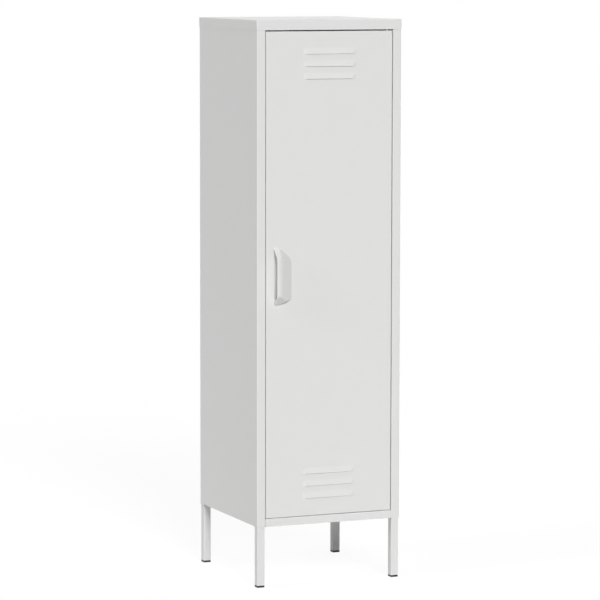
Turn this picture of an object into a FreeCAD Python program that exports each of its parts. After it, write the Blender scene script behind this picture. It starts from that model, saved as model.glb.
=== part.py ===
import FreeCAD, Part
import math
import os

# Tall steel side locker on four legs: folded sheet body, one hinged door, three shelves.
# Millimetres. +Z is up, the door faces -Y, and the origin is the bottom centre of the
# bounding box, so the floor is z = 0.

# ---- driving dimensions ----------------------------------------------------------------
LID_WIDTH = 380.0
LID_DEPTH = 380.0
TOTAL_HEIGHT = 1372.0
LEG_CLEARANCE = 148.5          # floor to the underside of the body
SHEET = 0.8                    # body, door and shelf sheet
BEND = 1.4                     # inside radius of a post or wall fold

LID_HEIGHT = 24.5
LID_FIT = 0.2                  # clearance inside the skirt
LID_EDGE = 2.0

POST_LIP = 14.0                # turned-in lip that closes a corner post
WALL_FLANGE = 16.0             # inward flanges at the top and bottom of a side wall

RAIL_HEIGHT = 19.5             # front rail under the door, and all floor flanges
RAIL_LIP = 12.0
HEADER_DEPTH = 50.0
BACK_FLANGE = 15.0
SEAM = 0.15                    # clearance between fitted sheets
CUT_OVER = 1.0                 # how far a cut runs past the face that it opens
ON_PLANE = 1e-6                # a point this near a plane lies on it

DOOR_DEPTH = 18.0
DOOR_FREE_GAP = 1.1            # post to the door's free edge
DOOR_HINGE_GAP = 2.0           # post to its hinged edge
DOOR_TOP_GAP = 3.0
DOOR_BOTTOM_GAP = 1.2
DOOR_LIP = 12.0
DOOR_CORNER = 1.4
DOOR_BEND = 1.2

LEG_SIZE = 19.0
LEG_WALL = 1.2
LEG_CORNER = 1.8
LEG_FIT = 0.7                  # leg to the inside of its corner post
LEG_ENGAGEMENT = 72.0          # length of leg hidden inside a corner post
CAP_HEIGHT = 5.0
CAP_SOLE_ROUND = 0.8
CAP_RIM_ROUND = 0.3
CAP_PLUG = 16.0
CAP_FIT = 0.1
CAP_RIB = 1.2
CAP_RIBS = 3
CAP_RIB_PITCH = 4.8

# ---- hinge -----------------------------------------------------------------------------
PIVOT_FROM_EDGE = 12.0         # hinge axis to the door's hinged edge
PIVOT_FROM_FACE = 6.0          # hinge axis to the door's front face
PIN_RADIUS = 2.5
PIN_FIT = 0.05                 # radial running clearance
PIN_ENGAGEMENT = 6.0           # pin length beyond the sheet that carries its bush
PIN_HEAD_RADIUS = 4.2
PIN_HEAD = 2.0
PIN_CHAMFER = 0.6
COLLAR_RADIUS = 4.4
BUSH_WALL = 1.1
BUSH_FLANGE_RADIUS = 4.6
BUSH_FLANGE = 0.6
BUSH_LENGTH = 5.0
BRACKET_WIDTH = 34.0
BRACKET_CLEARANCE = 2.0        # bracket to the return lip behind it
BRACKET_HEIGHT = 24.0
BRACKET_SHEET = 2.0
THRUST_GAP = 0.05              # pin collar above its bush

# ---- louvres ---------------------------------------------------------------------------
LOUVRE_COUNT = 3
LOUVRE_LENGTH = 136.0
LOUVRE_HEIGHT = 15.0
LOUVRE_PROUD = 2.2
LOUVRE_TAPER = 10.0
LOUVRE_PITCH = 30.0
LOUVRE_TOP_MARGIN = 54.5       # door top to the mouth of the first louvre
LOUVRE_BOTTOM_MARGIN = 42.8    # door bottom to the mouth of the last louvre
LOUVRE_ROUND = 1.2

# ---- handle ----------------------------------------------------------------------------
HANDLE_FROM_EDGE = 19.9        # mouth of the pull to the door's free edge
HANDLE_ABOVE_BOTTOM = 587.3    # door bottom to the middle of the pull
HANDLE_HEIGHT = 140.0
HANDLE_WIDTH = 46.5
HANDLE_PROJECTION = 25.5
HANDLE_RIDGE = 12.0            # flat width of the ridge
HANDLE_RIDGE_LENGTH = 88.0
HANDLE_TOP_FLAT = 16.0         # length of the straight part of the base's ends
HANDLE_TOP_CUT = 36.0          # height of the slanted corner at the top
HANDLE_BOTTOM_CUT = 20.0       # height of the slanted corner at the bottom
HANDLE_WALL = 2.4
HANDLE_RIDGE_ROUND = 4.0
HANDLE_TOE_SHARE = 1.6         # inner form: walls thicken at the low slope,
HANDLE_RIDGE_SHARE = 0.5       # and thin under the ridge, across
HANDLE_END_SHARE = 1 / 3       # and along it
BOSS_RADIUS = 4.5
BOSS_HEIGHT = 12.0
BOSS_SPACING = 96.0
BOSS_FROM_MOUTH = 14.0

# ---- shelves ---------------------------------------------------------------------------
SHELF_COUNT = 3
SHELF_HEIGHT = 20.0
SHELF_SIDE_CLEARANCE = 1.2
SHELF_FRONT_CLEARANCE = 3.0    # to the posts, and so to the swinging door's corner
SHELF_LIP = 9.0
SLOT_PITCH = 36.0
SLOT_WIDTH = 9.0
SLOT_ABOVE_LEG = 69.5          # leg top to the lowest slot
SLOT_TOP_MARGIN = 120.0        # highest slot below the top of its post, at least
LOWEST_SHELF_SLOT = 4          # slots below the lowest shelf
CLIP_SHEET = 1.6
CLIP_FIT = 0.15
CLIP_BEND = 0.2
CLIP_LEDGE = 13.0
CLIP_HOOK = 7.0

# ---- magnetic catches and stiffener ----------------------------------------------------
CATCH_LENGTH = 30.0
CATCH_DEPTH = 15.0
CATCH_HEIGHT = 13.0
CATCH_SHELL = 3.0
CATCH_ROUND = 1.0
CATCH_EAR = 10.0
CATCH_EAR_HEIGHT = 3.0
CATCH_EAR_INSET = 2.0
CATCH_FROM_EDGE = 46.9         # catch centre to the door's free edge
MAGNET_DEPTH = 10.0
MAGNET_HEIGHT = 6.0
POLE_SHEET = 1.5
POLE_PROUD = 0.6
POLE_AIR_GAP = 0.3
STRIKE_SHEET = 1.0
STRIKE_LENGTH = 34.0
STRIKE_HEIGHT = 10.0
STRIKE_ROUND = 1.5
STRIKE_FROM_FOLD = 0.4
HAT_WIDTH = 60.0
HAT_FLANGE = 12.0
HAT_CLEARANCE = 2.4            # hat crown to the plane of the door's rear edge
HAT_END_GAP = 22.0

# ---- fasteners -------------------------------------------------------------------------
LEG_SCREW_RADIUS = 2.5
LEG_SCREWS_BELOW_TOP = (13.0, 36.0)
PANEL_SCREW_RADIUS = 2.0
PANEL_SCREW_LENGTH = 8.0
BACK_SCREWS = 3                # at each side of the back panel
BACK_SCREW_MARGIN = 130.0
CATCH_SCREW_RADIUS = 1.75
SCREW_TIP = 4.0                # thread past the last sheet
SCREW_TIP_ROOM = 1.0           # hole past the tip of a screw in plastic
HOLE_CLEARANCE = 0.1
HEAD_RATIO = 1.95              # screw head radius over shank radius
HEAD_HEIGHT_RATIO = 1.1
HEAD_ROUND_RATIO = 0.6         # of the head's height
RECESS_FLOOR_RATIO = 0.35
RECESS_WIDTH_RATIO = 0.32
RECESS_REACH_RATIO = 1.1
RIVET_RADIUS = 1.6
RIVET_HEAD_RADIUS = 2.9
RIVET_HEAD = 0.8
RIVET_FROM_END = 4.0
NUT_RADIUS = 4.0               # across the corners of an M4 nut, halved
NUT_HEIGHT = 3.2
STUD_LENGTH = 9.0
STUD_SPACING = 226.0
WALL_HOLE_RADIUS = 3.0
WALL_HOLE_SPACING = 160.0
WALL_HOLE_FROM_TOP = 60.0

# ---- derived values --------------------------------------------------------------------
lid_proud = SHEET + LID_FIT       # lid face in front of the body face
lid_corner = BEND + SHEET + lid_proud
body_half = LID_WIDTH / 2 - lid_proud
front = -(LID_DEPTH - lid_proud - HANDLE_PROJECTION) / 2
back = front + LID_DEPTH - 2 * lid_proud
body_bottom = LEG_CLEARANCE
body_top = TOTAL_HEIGHT - SHEET
post_top = body_top - LID_EDGE    # cut ends of the posts, clear of the lid's inner bend
skirt_bottom = TOTAL_HEIGHT - LID_HEIGHT
floor_top = body_bottom + RAIL_HEIGHT

post_size = LEG_SIZE + 2 * (SHEET + LEG_FIT)
wall_inside = body_half - SHEET
jamb = body_half - post_size
post_rear = front + post_size
rear_post_front = back - post_size
panel_hole_reach = 4 * SHEET      # through both sheets that a panel screw joins

door_left = -jamb + DOOR_FREE_GAP
door_right = jamb - DOOR_HINGE_GAP
door_middle = (door_left + door_right) / 2
door_bottom = floor_top + DOOR_BOTTOM_GAP
door_top = skirt_bottom - DOOR_TOP_GAP
door_rear = front + DOOR_DEPTH
hinge_x = door_right - PIVOT_FROM_EDGE
hinge_y = front + PIVOT_FROM_FACE
pin_hole_radius = PIN_RADIUS + PIN_FIT
bush_radius = pin_hole_radius + BUSH_WALL
bracket_depth = DOOR_DEPTH - DOOR_BEND - SHEET - BRACKET_CLEARANCE
hat_depth = DOOR_DEPTH - 2 * SHEET - HAT_CLEARANCE

leg_inset = SHEET + LEG_FIT
leg_centre_x = body_half - post_size / 2
leg_centre_ys = {"front": front + post_size / 2, "rear": back - post_size / 2}
leg_top = body_bottom + LEG_ENGAGEMENT
leg_screw_reach = leg_inset + 2 * LEG_WALL
lip_centre_x = jamb + POST_LIP / 2

compartment = (skirt_bottom - floor_top) / (SHELF_COUNT + 1)
slots_between_shelves = round(compartment / SLOT_PITCH)
first_slot = leg_top + SLOT_ABOVE_LEG
slot_count = int((post_top - SLOT_TOP_MARGIN - first_slot) / SLOT_PITCH) + 1

catch_x = door_left + CATCH_FROM_EDGE
strike_rear = door_rear + STRIKE_SHEET
catch_front = strike_rear + POLE_AIR_GAP + POLE_PROUD
handle_x = door_left + HANDLE_FROM_EDGE
handle_centre = door_bottom + HANDLE_ABOVE_BOTTOM

X_AXIS = FreeCAD.Vector(1, 0, 0)
Y_AXIS = FreeCAD.Vector(0, 1, 0)
Z_AXIS = FreeCAD.Vector(0, 0, 1)
ORIGIN = FreeCAD.Vector(0, 0, 0)


# ---- general shapes --------------------------------------------------------------------
def box(x_span, y_span, z_span):
    """Box between two values on each axis."""
    size = [high - low for low, high in (x_span, y_span, z_span)]
    return Part.makeBox(*size, FreeCAD.Vector(x_span[0], y_span[0], z_span[0]))


def rod(radius, start, end):
    """Round bar between two points."""
    along = end - start
    return Part.makeCylinder(radius, along.Length, start, along)


def mirrored(shape):
    """The same piece on the other side of the locker."""
    return shape.mirror(ORIGIN, X_AXIS)


def moved(shape, x=0.0, y=0.0, z=0.0):
    """Copy of a shape, shifted."""
    return shape.translated(FreeCAD.Vector(x, y, z))


def turned(shape, degrees):
    """Copy of a shape, turned about the X axis."""
    return shape.rotated(ORIGIN, X_AXIS, degrees)


def joined(shapes):
    """One solid from pieces that touch."""
    return shapes[0].multiFuse(shapes[1:]).removeSplitter()


def edges_where(shape, test):
    """Edges whose every vertex passes a test."""
    return [edge for edge in shape.Edges if all(test(v.Point) for v in edge.Vertexes)]


def edges_along(shape, axis):
    """Straight edges parallel to an axis."""
    found = []
    for edge in shape.Edges:
        ends = [v.Point for v in edge.Vertexes]
        if len(ends) == 2:
            run = ends[1] - ends[0]
            if run.Length > 0 and abs(run.dot(axis)) > (1 - ON_PLANE) * run.Length:
                found.append(edge)
    return found


def rounded_block(width, depth, height, corner, edge_round):
    """Block standing on z = 0, with rounded upright edges and a rounded top rim."""
    block = box((-width / 2, width / 2), (-depth / 2, depth / 2), (0, height))
    block = block.makeFillet(corner, edges_along(block, Z_AXIS))
    rim = edges_where(block, lambda point: abs(point.z - height) < ON_PLANE)
    return block.makeFillet(edge_round, rim)


def tray(width, depth, height, corner, bend):
    """Folded sheet cover, closed at z = height and open at z = 0."""
    outer = rounded_block(width, depth, height, corner, bend)
    inner = rounded_block(width - 2 * SHEET, depth - 2 * SHEET, height - SHEET,
                          corner - SHEET, bend - SHEET)
    mouth = moved(inner, z=-height / 2)
    return outer.cut(inner.fuse(mouth))


def bent_path(points, thickness, bend, side):
    """Points and arc middles along one face of a bent strip, side = 0 or thickness."""
    runs = [(b - a).normalize() for a, b in zip(points, points[1:])]
    lefts = [FreeCAD.Vector(-run.y, run.x, 0) for run in runs]
    path = [(points[0] + lefts[0] * side, None)]
    for index in range(1, len(points) - 1):
        before, after = runs[index - 1], runs[index]
        n1, n2 = lefts[index - 1], lefts[index]
        turn = before.cross(after).z
        corner = points[index] + (n1 + n2) * (side / (1 + n1.dot(n2)))
        radius = bend + (thickness - side if turn > 0 else side)
        reach = radius * math.tan(before.getAngle(after) / 2)
        start = corner - before * reach
        centre = start + n1 * (radius if turn > 0 else -radius)
        middle = centre + (corner - centre).normalize() * radius
        path.append((start, None))
        path.append((corner + after * reach, middle))
    path.append((points[-1] + lefts[-1] * side, None))
    return path


def bent_sheet(points, thickness, bend, to_space, sweep):
    """Strip folded along 2-D points, which run on one face with the sheet on their left.

    to_space turns a 2-D point into a place in the locker, and sweep is the strip's width.
    """
    flat = [FreeCAD.Vector(u, v, 0) for u, v in points]
    edges = []
    faces = [bent_path(flat, thickness, bend, side) for side in (0.0, thickness)]
    for path in faces:
        for (start, _), (end, middle) in zip(path, path[1:]):
            ends = to_space(start.x, start.y), to_space(end.x, end.y)
            if middle is None:
                edges.append(Part.LineSegment(*ends).toShape())
            else:
                through = to_space(middle.x, middle.y)
                edges.append(Part.Arc(ends[0], through, ends[1]).toShape())
    for tip in (0, -1):
        ends = [to_space(path[tip][0].x, path[tip][0].y) for path in faces]
        edges.append(Part.LineSegment(*ends).toShape())
    outline = Part.Wire(Part.__sortEdges__(edges))
    return Part.Face(outline).extrude(sweep)


def facets(corners, faces):
    """Solid with flat faces, from named corners and the corner names of each face."""
    skin = []
    for names in faces:
        loop = [corners[name] for name in names]
        skin.append(Part.Face(Part.makePolygon(loop + loop[:1])))
    return Part.Solid(Part.Shell(skin))


def screw(radius, length, seat, direction):
    """Cross-recessed pan-head screw, its head on the seat and its shank along direction."""
    head_radius = radius * HEAD_RATIO
    head_height = radius * HEAD_HEIGHT_RATIO
    head = Part.makeCylinder(head_radius, head_height)
    rim = edges_where(head, lambda point: abs(point.z - head_height) < ON_PLANE)
    head = head.makeFillet(head_height * HEAD_ROUND_RATIO, rim[:1])
    width = radius * RECESS_WIDTH_RATIO
    reach = radius * RECESS_REACH_RATIO
    deep = (head_height * RECESS_FLOOR_RATIO, head_height + CUT_OVER)
    head = head.cut(box((-reach, reach), (-width, width), deep))
    head = head.cut(box((-width, width), (-reach, reach), deep))
    shank = rod(radius, ORIGIN, FreeCAD.Vector(0, 0, -length))
    whole = head.fuse(shank)
    whole.Placement = FreeCAD.Placement(seat, FreeCAD.Rotation(Z_AXIS * -1, direction))
    return whole


def screw_hole(radius, seat, direction, reach):
    """Clearance hole around a screw, through every sheet within reach of its seat."""
    start = seat - direction * CUT_OVER
    return rod(radius + HOLE_CLEARANCE, start, seat + direction * reach)


# ---- places of the fasteners -----------------------------------------------------------
def leg_screw_places(end):
    """Seats and direction of the two screws of one left-hand leg."""
    toward = Y_AXIS * (-1 if end == "front" else 1)
    y = post_rear if end == "front" else rear_post_front
    return [(FreeCAD.Vector(-lip_centre_x, y, leg_top - drop), toward)
            for drop in LEG_SCREWS_BELOW_TOP]


def floor_screw_places():
    """Seats of the screws that hold the left edge of the floor panel to the posts."""
    z = body_bottom + RAIL_HEIGHT / 2
    front_seat = FreeCAD.Vector(-(jamb - SEAM - SHEET), leg_centre_ys["front"], z)
    rear_x = jamb - 2 * (SEAM + SHEET)
    rear_seat = FreeCAD.Vector(-rear_x, back - BACK_FLANGE / 2 - SHEET, z)
    return [(front_seat, X_AXIS * -1), (rear_seat, X_AXIS * -1)]


def back_screw_places():
    """Seats of the screws that hold the left edge of the back panel."""
    low = body_bottom + BACK_SCREW_MARGIN
    pitch = (body_top - BACK_SCREW_MARGIN - low) / (BACK_SCREWS - 1)
    x = -(jamb - SEAM - SHEET)
    y = back - BACK_FLANGE / 2 - SHEET
    return [(FreeCAD.Vector(x, y, low + pitch * index), X_AXIS * -1)
            for index in range(BACK_SCREWS)]


def header_screw_places():
    """Seat of the screw at the left end of the header."""
    z = (skirt_bottom + body_top) / 2
    x = -(jamb - SEAM - SHEET)
    return [(FreeCAD.Vector(x, leg_centre_ys["front"], z), X_AXIS * -1)]


def lid_stud_places():
    """Tops of the studs under the lid."""
    ys = (front + HEADER_DEPTH / 2, back - BACK_FLANGE / 2 - SHEET)
    return [FreeCAD.Vector(side * STUD_SPACING / 2, y, body_top)
            for side in (-1, 1) for y in ys]


def cut_holes(shape, radius, places, reach):
    """Shape with a clearance hole at each fastener place."""
    for seat, direction in places:
        shape = shape.cut(screw_hole(radius, seat, direction, reach))
    return shape


# ---- body ------------------------------------------------------------------------------
def lid():
    """Cover with a turned-down skirt that caps the body."""
    cover = tray(LID_WIDTH, LID_DEPTH, LID_HEIGHT, lid_corner, LID_EDGE)
    return moved(cover, y=(front + back) / 2, z=skirt_bottom)


def side_panel():
    """Left side: a wall with box posts folded at its front and rear edges."""
    trim = 2 * BEND
    middle = (front + back) / 2

    def on_plan(u, v):
        return FreeCAD.Vector(u, v, body_bottom)

    def on_section(u, v):
        return FreeCAD.Vector(u, post_rear + trim, v)

    front_post = [(-body_half, middle), (-body_half, front), (-jamb, front),
                  (-jamb, post_rear), (-jamb - POST_LIP, post_rear)]
    rear_post = [(-jamb - POST_LIP, rear_post_front), (-jamb, rear_post_front),
                 (-jamb, back), (-body_half, back), (-body_half, middle)]
    height = Z_AXIS * (post_top - body_bottom)
    posts = joined([bent_sheet(points, SHEET, BEND, on_plan, height)
                    for points in (front_post, rear_post)])
    between = box((-body_half - CUT_OVER, -wall_inside + BEND),
                  (post_rear + trim, rear_post_front - trim),
                  (body_bottom - CUT_OVER, body_top + CUT_OVER))
    inner = -body_half + WALL_FLANGE
    cover = [(inner, body_top), (-body_half, body_top),
             (-body_half, body_bottom), (inner, body_bottom)]
    run = Y_AXIS * (rear_post_front - post_rear - 2 * trim)
    wall = bent_sheet(cover, SHEET, BEND, on_section, run)
    panel = joined([posts.cut(between), wall])
    for end in ("front", "rear"):
        panel = cut_holes(panel, LEG_SCREW_RADIUS, leg_screw_places(end), SHEET + CUT_OVER)
    panel_places = floor_screw_places() + back_screw_places() + header_screw_places()
    panel = cut_holes(panel, PANEL_SCREW_RADIUS, panel_places, panel_hole_reach)
    return panel.cut(Part.makeCompound(clip_slots()))


def clip_slots():
    """Slots for the shelf clips in the lips of the left posts."""
    half = SLOT_WIDTH / 2 + CLIP_FIT
    slots = []
    for lip_face in (post_rear - SHEET, rear_post_front):
        for index in range(slot_count):
            z = first_slot + index * SLOT_PITCH
            slots.append(box((-lip_centre_x - half, -lip_centre_x + half),
                             (lip_face - CUT_OVER, lip_face + SHEET + CUT_OVER),
                             (z - CLIP_SHEET - CLIP_FIT, z + CLIP_FIT)))
    return slots


def floor_panel():
    """Floor with turned-down flanges, whose front flange is the rail under the door."""
    centre_x = jamb - SEAM
    wing_x = wall_inside - BEND
    rear_x = jamb - 2 * SEAM - SHEET
    wing_front = post_rear + SEAM
    wing_rear = rear_post_front - SEAM
    rear_y = back - SHEET - SEAM

    def plan(inset, low, wing_low, high):
        return joined([
            box((-centre_x + inset, centre_x - inset), (front + inset, wing_rear - inset),
                (low, high)),
            box((-wing_x + inset, wing_x - inset), (wing_front + inset, wing_rear - inset),
                (wing_low, high)),
            box((-rear_x + inset, rear_x - inset), (wing_front + inset, rear_y - inset),
                (low, high))])

    panel = plan(0.0, body_bottom, body_bottom + SHEET, floor_top)
    nose = edges_where(panel, lambda p: abs(p.y - front) < ON_PLANE and abs(p.z - floor_top) < ON_PLANE)
    panel = panel.makeFillet(BEND + SHEET, nose)
    under = body_bottom - CUT_OVER
    hollow = plan(SHEET, under, under, floor_top - SHEET)
    lining = edges_where(hollow, lambda p: abs(p.y - front - SHEET) < ON_PLANE
                         and abs(p.z - floor_top + SHEET) < ON_PLANE)
    panel = panel.cut(hollow.makeFillet(BEND, lining))
    rail_lip = box((-centre_x, centre_x), (front, front + RAIL_LIP),
                   (body_bottom, body_bottom + SHEET))
    panel = joined([panel, rail_lip])
    places = floor_screw_places()
    panel = cut_holes(panel, PANEL_SCREW_RADIUS, places, panel_hole_reach)
    panel = mirrored(cut_holes(mirrored(panel), PANEL_SCREW_RADIUS, places, panel_hole_reach))
    places = catch_screw_places("lower")
    panel = cut_holes(panel, CATCH_SCREW_RADIUS, places, CATCH_EAR_HEIGHT + SHEET + CUT_OVER)
    return panel.cut(bush_hole())


def header_channel():
    """Channel across the top of the door opening, behind the lid's skirt."""
    height = body_top - skirt_bottom
    channel = turned(tray(2 * (jamb - SEAM), height, HEADER_DEPTH, DOOR_CORNER, DOOR_BEND), 90)
    channel = moved(channel, y=front + HEADER_DEPTH, z=(skirt_bottom + body_top) / 2)
    places = header_screw_places()
    channel = cut_holes(channel, PANEL_SCREW_RADIUS, places, panel_hole_reach)
    channel = mirrored(cut_holes(mirrored(channel), PANEL_SCREW_RADIUS, places, panel_hole_reach))
    for top in lid_stud_places():
        channel = channel.cut(stud_hole(top))
    places = catch_screw_places("upper")
    channel = cut_holes(channel, CATCH_SCREW_RADIUS, places, CATCH_EAR_HEIGHT + SHEET + CUT_OVER)
    return channel.cut(bush_hole())


def back_panel():
    """Back with forward flanges at its sides and top, and two wall fixing holes."""
    height = body_top - body_bottom
    panel = turned(tray(2 * (jamb - SEAM), height, BACK_FLANGE, DOOR_CORNER, DOOR_BEND), -90)
    panel = moved(panel, y=back - BACK_FLANGE, z=(body_top + body_bottom) / 2)
    foot = box((-jamb + SHEET + SEAM, jamb - SHEET - SEAM),
               (back - BACK_FLANGE - CUT_OVER, back - SHEET),
               (body_bottom - CUT_OVER, body_bottom + BEND * 2))
    panel = panel.cut(foot)
    places = back_screw_places() + floor_screw_places()[1:]
    panel = cut_holes(panel, PANEL_SCREW_RADIUS, places, panel_hole_reach)
    panel = mirrored(cut_holes(mirrored(panel), PANEL_SCREW_RADIUS, places, panel_hole_reach))
    for top in lid_stud_places():
        panel = panel.cut(stud_hole(top))
    z = body_top - WALL_HOLE_FROM_TOP
    for x in (-WALL_HOLE_SPACING / 2, WALL_HOLE_SPACING / 2):
        inside = FreeCAD.Vector(x, back - SHEET - CUT_OVER, z)
        panel = panel.cut(rod(WALL_HOLE_RADIUS, inside, FreeCAD.Vector(x, back + CUT_OVER, z)))
    return panel


def leg():
    """Square tube that stands inside a corner post."""
    def column(inset, low, high):
        half = LEG_SIZE / 2 - inset
        bar = box((-half, half), (-half, half), (low, high))
        return bar.makeFillet(LEG_CORNER - inset, edges_along(bar, Z_AXIS))

    return column(0.0, CAP_HEIGHT, leg_top).cut(column(LEG_WALL, 0.0, leg_top + CUT_OVER))


def foot_cap():
    """Plastic end cap: a sole as wide as the tube, and a ribbed plug inside it."""
    sole = rounded_block(LEG_SIZE, LEG_SIZE, CAP_HEIGHT, LEG_CORNER, CAP_RIM_ROUND)
    sole = sole.makeFillet(CAP_SOLE_ROUND, edges_where(sole, lambda p: abs(p.z) < ON_PLANE))
    half = LEG_SIZE / 2 - LEG_WALL - CAP_FIT - CAP_RIB / 2
    top = CAP_HEIGHT + CAP_PLUG
    plug = box((-half, half), (-half, half), (CAP_HEIGHT / 2, top))
    hollow = box((-half + CAP_RIB, half - CAP_RIB), (-half + CAP_RIB, half - CAP_RIB),
                 (CAP_HEIGHT, top + CUT_OVER))
    plug = plug.cut(hollow)
    outside = half + CAP_RIB / 2
    ribs = []
    for index in range(CAP_RIBS):
        z = CAP_HEIGHT + CAP_RIB_PITCH * (index + 1)
        rib = box((-outside, outside), (-outside, outside), (z - CAP_RIB / 2, z + CAP_RIB / 2))
        rib = rib.makeFillet(LEG_CORNER - LEG_WALL, edges_along(rib, Z_AXIS))
        ribs.append(rib.cut(hollow))
    return joined([sole, plug] + ribs)


def drilled_leg(end):
    """Left leg in its post, drilled for its own screws and for the floor panel's."""
    tube = moved(leg(), x=-leg_centre_x, y=leg_centre_ys[end])
    tube = cut_holes(tube, LEG_SCREW_RADIUS, leg_screw_places(end), leg_screw_reach)
    return cut_holes(tube, PANEL_SCREW_RADIUS, floor_screw_places(),
                     panel_hole_reach + leg_screw_reach)


def leg_set():
    """The four legs and their caps, by node name."""
    parts = {}
    for end, y in leg_centre_ys.items():
        for side, x in (("left", -leg_centre_x), ("right", leg_centre_x)):
            tube = drilled_leg(end)
            parts[f"{end}_{side}_leg"] = tube if side == "left" else mirrored(tube)
            parts[f"{end}_{side}_foot_cap"] = moved(foot_cap(), x=x, y=y)
    return parts


# ---- shelves ---------------------------------------------------------------------------
def shelf():
    """Shelf pan standing on z = 0, with folded lips under its front and rear flanges."""
    width = 2 * (wall_inside - SHELF_SIDE_CLEARANCE)
    depth = rear_post_front - post_rear - 2 * SHELF_FRONT_CLEARANCE
    pan = tray(width, depth, SHELF_HEIGHT, DOOR_CORNER, DOOR_BEND)
    lips = [box((-width / 2 + DOOR_CORNER, width / 2 - DOOR_CORNER), span, (0, SHEET))
            for span in ((-depth / 2, -depth / 2 + SHELF_LIP),
                         (depth / 2 - SHELF_LIP, depth / 2))]
    return moved(joined([pan] + lips), y=(post_rear + rear_post_front) / 2)


def shelf_clip():
    """Clip hooked in a slot of the left front post, its ledge top at z = 0."""
    hook = post_rear - SHEET - CLIP_FIT - CLIP_SHEET
    points = [(hook, -CLIP_HOOK), (hook, 0), (post_rear + CLIP_LEDGE, 0)]
    points.reverse()

    def across(u, v):
        return FreeCAD.Vector(-lip_centre_x - SLOT_WIDTH / 2, u, v)

    return bent_sheet(points, CLIP_SHEET, CLIP_BEND, across, X_AXIS * SLOT_WIDTH)


def shelf_set():
    """Shelves and the four clips under each, by node name, from the lowest up."""
    front_left = shelf_clip()
    middle = FreeCAD.Vector(0, (front + back) / 2, 0)
    rear_left = front_left.mirror(middle, Y_AXIS)
    clips = [front_left, rear_left, mirrored(front_left), mirrored(rear_left)]
    parts = {}
    for index, name in zip(range(SHELF_COUNT), ("lower", "middle", "upper")):
        z = first_slot + SLOT_PITCH * (LOWEST_SHELF_SLOT + slots_between_shelves * index)
        parts[f"{name}_shelf"] = moved(shelf(), z=z)
        parts[f"{name}_shelf_clips"] = Part.makeCompound([moved(clip, z=z) for clip in clips])
    return parts


# ---- door ------------------------------------------------------------------------------
def louvre_wedge(behind):
    """Tapered louvre hood in front of y = 0, with its mouth at z = 0."""
    half = LOUVRE_LENGTH / 2
    nose = half - LOUVRE_TAPER
    corners = {
        "A": FreeCAD.Vector(-half, 0, LOUVRE_HEIGHT), "B": FreeCAD.Vector(half, 0, LOUVRE_HEIGHT),
        "C": FreeCAD.Vector(half, 0, 0), "D": FreeCAD.Vector(-half, 0, 0),
        "E": FreeCAD.Vector(-nose, -LOUVRE_PROUD, 0), "F": FreeCAD.Vector(nose, -LOUVRE_PROUD, 0)}
    hood = facets(corners, ("ABCD", "AEFB", "ADE", "BFC", "DCFE"))
    hips = [edge for edge in hood.Edges
            if {round(v.Point.z) for v in edge.Vertexes} == {0, round(LOUVRE_HEIGHT)}
            and min(v.Point.y for v in edge.Vertexes) < -LOUVRE_PROUD / 2]
    hood = hood.makeFillet(LOUVRE_ROUND, hips)
    return hood.fuse(box((-half, half), (0, behind), (0, LOUVRE_HEIGHT)))


def louvre_heights():
    """Heights of all louvre mouths."""
    top = [door_top - LOUVRE_TOP_MARGIN - index * LOUVRE_PITCH for index in range(LOUVRE_COUNT)]
    low = [door_bottom + LOUVRE_BOTTOM_MARGIN + index * LOUVRE_PITCH
           for index in range(LOUVRE_COUNT)]
    return top + low


def door_skin():
    """Door pan with return lips, pressed louvres and holes for its pivots and handle."""
    height = door_top - door_bottom
    middle = (door_top + door_bottom) / 2
    skin = tray(door_right - door_left, height, DOOR_DEPTH, DOOR_CORNER, DOOR_BEND)
    skin = moved(turned(skin, 90), x=door_middle, y=door_rear, z=middle)
    lining = box((door_left + SHEET, door_right - SHEET), (door_rear - SHEET, door_rear),
                 (door_bottom + SHEET, door_top - SHEET))
    window = box((door_left + DOOR_LIP, door_right - DOOR_LIP),
                 (door_rear - SHEET - CUT_OVER, door_rear + CUT_OVER),
                 (door_bottom + DOOR_LIP, door_top - DOOR_LIP))
    skin = joined([skin, lining.cut(window)])
    skin = joined([skin] + [moved(louvre_wedge(SHEET), x=door_middle, y=front, z=z)
                            for z in louvre_heights()])
    holes = [moved(louvre_wedge(CUT_OVER), x=door_middle, y=front + SHEET, z=z)
             for z in louvre_heights()]
    holes += [hinge_rod(pin_hole_radius, z - SHEET - CUT_OVER, z + SHEET + CUT_OVER)
              for z in (door_bottom, door_top)]
    holes += [rivet_hole(place) for end in ("upper", "lower") for place in rivet_places(end)]
    for hole in holes:
        skin = skin.cut(hole)
    return cut_holes(skin, PANEL_SCREW_RADIUS, handle_screw_places(), SHEET + CUT_OVER)


def door_stiffener():
    """Hat section welded down the middle of the door's inner face."""
    half = HAT_WIDTH / 2
    root = front + SHEET
    crown = root + hat_depth
    points = [(-half, root), (-half + HAT_FLANGE, root), (-half + HAT_FLANGE, crown),
              (half - HAT_FLANGE, crown), (half - HAT_FLANGE, root), (half, root)]
    louvre_zone = LOUVRE_PITCH * (LOUVRE_COUNT - 1)
    low = door_bottom + LOUVRE_BOTTOM_MARGIN + louvre_zone + LOUVRE_HEIGHT + HAT_END_GAP
    high = door_top - LOUVRE_TOP_MARGIN - louvre_zone - HAT_END_GAP

    def on_plan(u, v):
        return FreeCAD.Vector(door_middle + u, v, low)

    return bent_sheet(points, SHEET, BEND, on_plan, Z_AXIS * (high - low))


def hinge_rod(radius, low, high):
    """Round bar on the hinge axis between two heights."""
    return rod(radius, FreeCAD.Vector(hinge_x, hinge_y, low),
               FreeCAD.Vector(hinge_x, hinge_y, high))


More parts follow.
